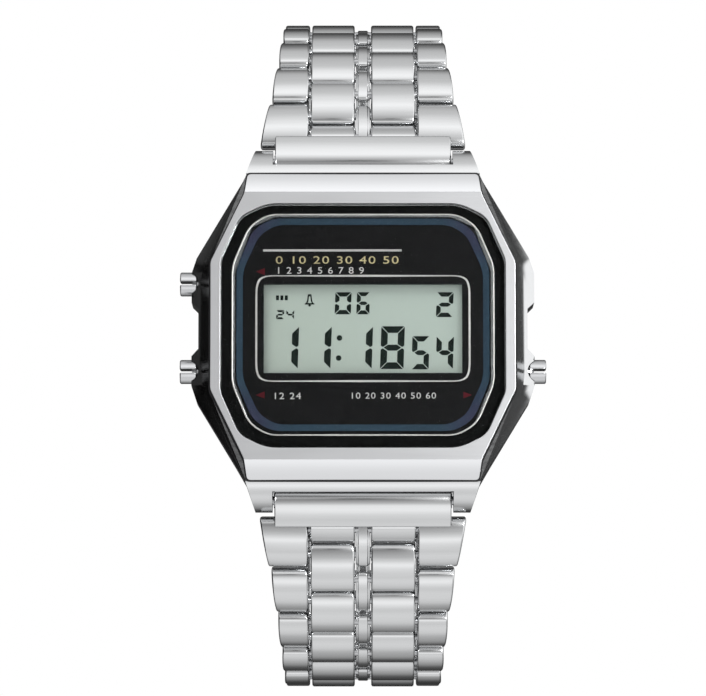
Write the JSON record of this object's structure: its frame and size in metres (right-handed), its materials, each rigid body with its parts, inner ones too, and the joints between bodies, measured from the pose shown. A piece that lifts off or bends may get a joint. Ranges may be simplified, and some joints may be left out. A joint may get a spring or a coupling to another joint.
{
  "type": "digital wristwatch",
  "caption": "Rectangular digital wristwatch with an octagonal bezel, liquid crystal display, side push buttons and a tapering metal link bracelet closed by a fold-over clasp.",
  "frame": {"origin": "centre of the wrist opening, midway between the case back and the clasp, on the case's centre lines", "axes": "+X to the 3 o'clock side, +Z to 12 o'clock, the face looks along -Y; the wrist passes along X"},
  "size_m": [0.0364, 0.0497, 0.069],
  "materials": {
    "case_steel": "satin plated metal, polished edges",
    "brushed_bezel": "fine brushed",
    "brushed_back": "brushed",
    "link_steel": "satin folded sheet",
    "clasp_steel": "satin pressed sheet",
    "pin_steel": "drawn wire",
    "crystal_glass": "clear, polished",
    "dial_black": "black printed",
    "display_glass": "grey-green polariser",
    "reflector_foil": "satin foil",
    "frame_resin": "moulded",
    "contact_rubber": "layered elastomer",
    "board_laminate": "solder mask",
    "chip_epoxy": "cast resin",
    "plated_can": "plated",
    "lamp_resin": "clear moulded",
    "gilt_spring": "gold-plated strip",
    "seal_rubber": "moulded"
  },
  "bodies": {
    "case": {"case_body": "case_steel", "bezel_plate": "brushed_bezel", "crystal": "crystal_glass", "dial_plate": "dial_black", "lcd_panel": "display_glass", "lcd_reflector": "reflector_foil", "module_frame": "frame_resin", "contact_strips": "contact_rubber", "circuit_board": "board_laminate", "chip": "chip_epoxy", "quartz_can": "plated_can", "lamp": "lamp_resin", "switch_leaves": "gilt_spring", "battery": "plated_can", "battery_clip": "gilt_spring", "sounder_disc": "gilt_spring", "case_back": "brushed_back", "back_screws": "pin_steel", "back_gasket": "seal_rubber", "button_seals": "seal_rubber", "spring_bar_12": "pin_steel", "spring_bar_6": "pin_steel"},
    "button_light": {"button_light": "case_steel", "clip_light": "pin_steel"},
    "button_mode": {"button_mode": "case_steel", "clip_mode": "pin_steel"},
    "button_start": {"button_start": "case_steel", "clip_start": "pin_steel"},
    "end_link_12": {"end_link_12": "link_steel"},
    "link_12_01": {"link_12_01": "link_steel"},
    "link_12_02": {"link_12_02": "link_steel"},
    "link_12_03": {"link_12_03": "link_steel"},
    "link_12_04": {"link_12_04": "link_steel"},
    "link_12_05": {"link_12_05": "link_steel"},
    "link_12_06": {"link_12_06": "link_steel"},
    "link_12_07": {"link_12_07": "link_steel"},
    "link_12_08": {"link_12_08": "link_steel"},
    "link_12_09": {"link_12_09": "link_steel"},
    "link_12_10": {"link_12_10": "link_steel"},
    "end_link_6": {"end_link_6": "link_steel"},
    "link_6_01": {"link_6_01": "link_steel"},
    "link_6_02": {"link_6_02": "link_steel"},
    "link_6_03": {"link_6_03": "link_steel"},
    "link_6_04": {"link_6_04": "link_steel"},
    "link_6_05": {"link_6_05": "link_steel"},
    "link_6_06": {"link_6_06": "link_steel"},
    "link_6_07": {"link_6_07": "link_steel"},
    "link_6_08": {"link_6_08": "link_steel"},
    "link_6_09": {"link_6_09": "link_steel"},
    "link_6_10": {"link_6_10": "link_steel"},
    "clasp_inner": {"clasp_inner_leaf": "clasp_steel", "clasp_bar_6": "pin_steel"},
    "clasp_middle": {"clasp_middle_leaf": "clasp_steel", "clasp_pin_top": "pin_steel"},
    "clasp_cover": {"clasp_cover": "clasp_steel", "clasp_pin_bottom": "pin_steel", "clasp_bar_12": "pin_steel"}
  },
  "joints": [
    {"name": "light_press", "type": "slide", "parent": "case", "child": "button_light", "axis": [1, 0, 0], "range_m": [0, 0.00055], "stiffness_N_per_m": 1500, "springref_m": -0.0003},
    {"name": "mode_press", "type": "slide", "parent": "case", "child": "button_mode", "axis": [1, 0, 0], "range_m": [0, 0.00055], "stiffness_N_per_m": 1500, "springref_m": -0.0003},
    {"name": "start_press", "type": "slide", "parent": "case", "child": "button_start", "axis": [-1, 0, 0], "range_m": [0, 0.00055], "stiffness_N_per_m": 1500, "springref_m": -0.0003},
    {"name": "end_link_12_pivot", "type": "hinge", "parent": "case", "child": "end_link_12", "pos_m": [0, -0.02265, 0.017], "axis": [1, 0, 0], "range_deg": [0, 22]},
    {"name": "link_12_01_hinge", "type": "hinge", "parent": "end_link_12", "child": "link_12_01", "pos_m": [0, -0.02155, 0.01974], "axis": [1, 0, 0], "range_deg": [0, 7]},
    {"name": "link_12_02_hinge", "type": "hinge", "parent": "link_12_01", "child": "link_12_02", "pos_m": [0, -0.01888, 0.02455], "axis": [1, 0, 0], "range_deg": [0, 14.6]},
    {"name": "link_12_03_hinge", "type": "hinge", "parent": "link_12_02", "child": "link_12_03", "pos_m": [0, -0.01509, 0.02853], "axis": [1, 0, 0], "range_deg": [0, 14.6]},
    {"name": "link_12_04_hinge", "type": "hinge", "parent": "link_12_03", "child": "link_12_04", "pos_m": [0, -0.01042, 0.03143], "axis": [1, 0, 0], "range_deg": [0, 14.6]},
    {"name": "link_12_05_hinge", "type": "hinge", "parent": "link_12_04", "child": "link_12_05", "pos_m": [0, -0.00516, 0.03305], "axis": [1, 0, 0], "range_deg": [0, 14.6]},
    {"name": "link_12_06_hinge", "type": "hinge", "parent": "link_12_05", "child": "link_12_06", "pos_m": [0, 0.00033, 0.0333], "axis": [1, 0, 0], "range_deg": [0, 14.6]},
    {"name": "link_12_07_hinge", "type": "hinge", "parent": "link_12_06", "child": "link_12_07", "pos_m": [0, 0.00571, 0.03216], "axis": [1, 0, 0], "range_deg": [0, 14.6]},
    {"name": "link_12_08_hinge", "type": "hinge", "parent": "link_12_07", "child": "link_12_08", "pos_m": [0, 0.01063, 0.0297], "axis": [1, 0, 0], "range_deg": [0, 14.6]},
    {"name": "link_12_09_hinge", "type": "hinge", "parent": "link_12_08", "child": "link_12_09", "pos_m": [0, 0.01477, 0.02607], "axis": [1, 0, 0], "range_deg": [0, 14.6]},
    {"name": "link_12_10_hinge", "type": "hinge", "parent": "link_12_09", "child": "link_12_10", "pos_m": [0, 0.01786, 0.02152], "axis": [1, 0, 0], "range_deg": [0, 14.6]},
    {"name": "end_link_6_pivot", "type": "hinge", "parent": "case", "child": "end_link_6", "pos_m": [0, -0.02265, -0.017], "axis": [-1, 0, 0], "range_deg": [0, 22]},
    {"name": "link_6_01_hinge", "type": "hinge", "parent": "end_link_6", "child": "link_6_01", "pos_m": [0, -0.02155, -0.01974], "axis": [-1, 0, 0], "range_deg": [0, 7]},
    {"name": "link_6_02_hinge", "type": "hinge", "parent": "link_6_01", "child": "link_6_02", "pos_m": [0, -0.01888, -0.02455], "axis": [-1, 0, 0], "range_deg": [0, 14.6]},
    {"name": "link_6_03_hinge", "type": "hinge", "parent": "link_6_02", "child": "link_6_03", "pos_m": [0, -0.01509, -0.02853], "axis": [-1, 0, 0], "range_deg": [0, 14.6]},
    {"name": "link_6_04_hinge", "type": "hinge", "parent": "link_6_03", "child": "link_6_04", "pos_m": [0, -0.01042, -0.03143], "axis": [-1, 0, 0], "range_deg": [0, 14.6]},
    {"name": "link_6_05_hinge", "type": "hinge", "parent": "link_6_04", "child": "link_6_05", "pos_m": [0, -0.00516, -0.03305], "axis": [-1, 0, 0], "range_deg": [0, 14.6]},
    {"name": "link_6_06_hinge", "type": "hinge", "parent": "link_6_05", "child": "link_6_06", "pos_m": [0, 0.00033, -0.0333], "axis": [-1, 0, 0], "range_deg": [0, 14.6]},
    {"name": "link_6_07_hinge", "type": "hinge", "parent": "link_6_06", "child": "link_6_07", "pos_m": [0, 0.00571, -0.03216], "axis": [-1, 0, 0], "range_deg": [0, 14.6]},
    {"name": "link_6_08_hinge", "type": "hinge", "parent": "link_6_07", "child": "link_6_08", "pos_m": [0, 0.01063, -0.0297], "axis": [-1, 0, 0], "range_deg": [0, 14.6]},
    {"name": "link_6_09_hinge", "type": "hinge", "parent": "link_6_08", "child": "link_6_09", "pos_m": [0, 0.01477, -0.02607], "axis": [-1, 0, 0], "range_deg": [0, 14.6]},
    {"name": "link_6_10_hinge", "type": "hinge", "parent": "link_6_09", "child": "link_6_10", "pos_m": [0, 0.01786, -0.02152], "axis": [-1, 0, 0], "range_deg": [0, 14.6]},
    {"name": "clasp_bracelet_hinge", "type": "hinge", "parent": "link_6_10", "child": "clasp_inner", "pos_m": [0, 0.0197, -0.01634], "axis": [-1, 0, 0], "range_deg": [0, 19.6]},
    {"name": "clasp_leaf_hinge", "type": "hinge", "parent": "clasp_inner", "child": "clasp_middle", "pos_m": [0, 0.0192, 0.01334], "axis": [1, 0, 0], "range_deg": [0, 120]},
    {"name": "clasp_cover_hinge", "type": "hinge", "parent": "clasp_middle", "child": "clasp_cover", "pos_m": [0, 0.02035, -0.01334], "axis": [-1, 0, 0], "range_deg": [0, 120]}
  ],
  "couplings": [
    {"joint": "link_12_02_hinge", "follows": "link_12_01_hinge", "ratio": 2.0857},
    {"joint": "link_12_03_hinge", "follows": "link_12_01_hinge", "ratio": 2.0857},
    {"joint": "link_12_04_hinge", "follows": "link_12_01_hinge", "ratio": 2.0857},
    {"joint": "link_12_05_hinge", "follows": "link_12_01_hinge", "ratio": 2.0857},
    {"joint": "link_12_06_hinge", "follows": "link_12_01_hinge", "ratio": 2.0857},
    {"joint": "link_12_07_hinge", "follows": "link_12_01_hinge", "ratio": 2.0857},
    {"joint": "link_12_08_hinge", "follows": "link_12_01_hinge", "ratio": 2.0857},
    {"joint": "link_12_09_hinge", "follows": "link_12_01_hinge", "ratio": 2.0857},
    {"joint": "link_12_10_hinge", "follows": "link_12_01_hinge", "ratio": 2.0857},
    {"joint": "link_6_02_hinge", "follows": "link_6_01_hinge", "ratio": 2.0857},
    {"joint": "link_6_03_hinge", "follows": "link_6_01_hinge", "ratio": 2.0857},
    {"joint": "link_6_04_hinge", "follows": "link_6_01_hinge", "ratio": 2.0857},
    {"joint": "link_6_05_hinge", "follows": "link_6_01_hinge", "ratio": 2.0857},
    {"joint": "link_6_06_hinge", "follows": "link_6_01_hinge", "ratio": 2.0857},
    {"joint": "link_6_07_hinge", "follows": "link_6_01_hinge", "ratio": 2.0857},
    {"joint": "link_6_08_hinge", "follows": "link_6_01_hinge", "ratio": 2.0857},
    {"joint": "link_6_09_hinge", "follows": "link_6_01_hinge", "ratio": 2.0857},
    {"joint": "link_6_10_hinge", "follows": "link_6_01_hinge", "ratio": 2.0857},
    {"joint": "clasp_bracelet_hinge", "follows": "link_6_01_hinge", "ratio": 2.8},
    {"joint": "clasp_cover_hinge", "follows": "clasp_leaf_hinge", "ratio": 1}
  ]
}
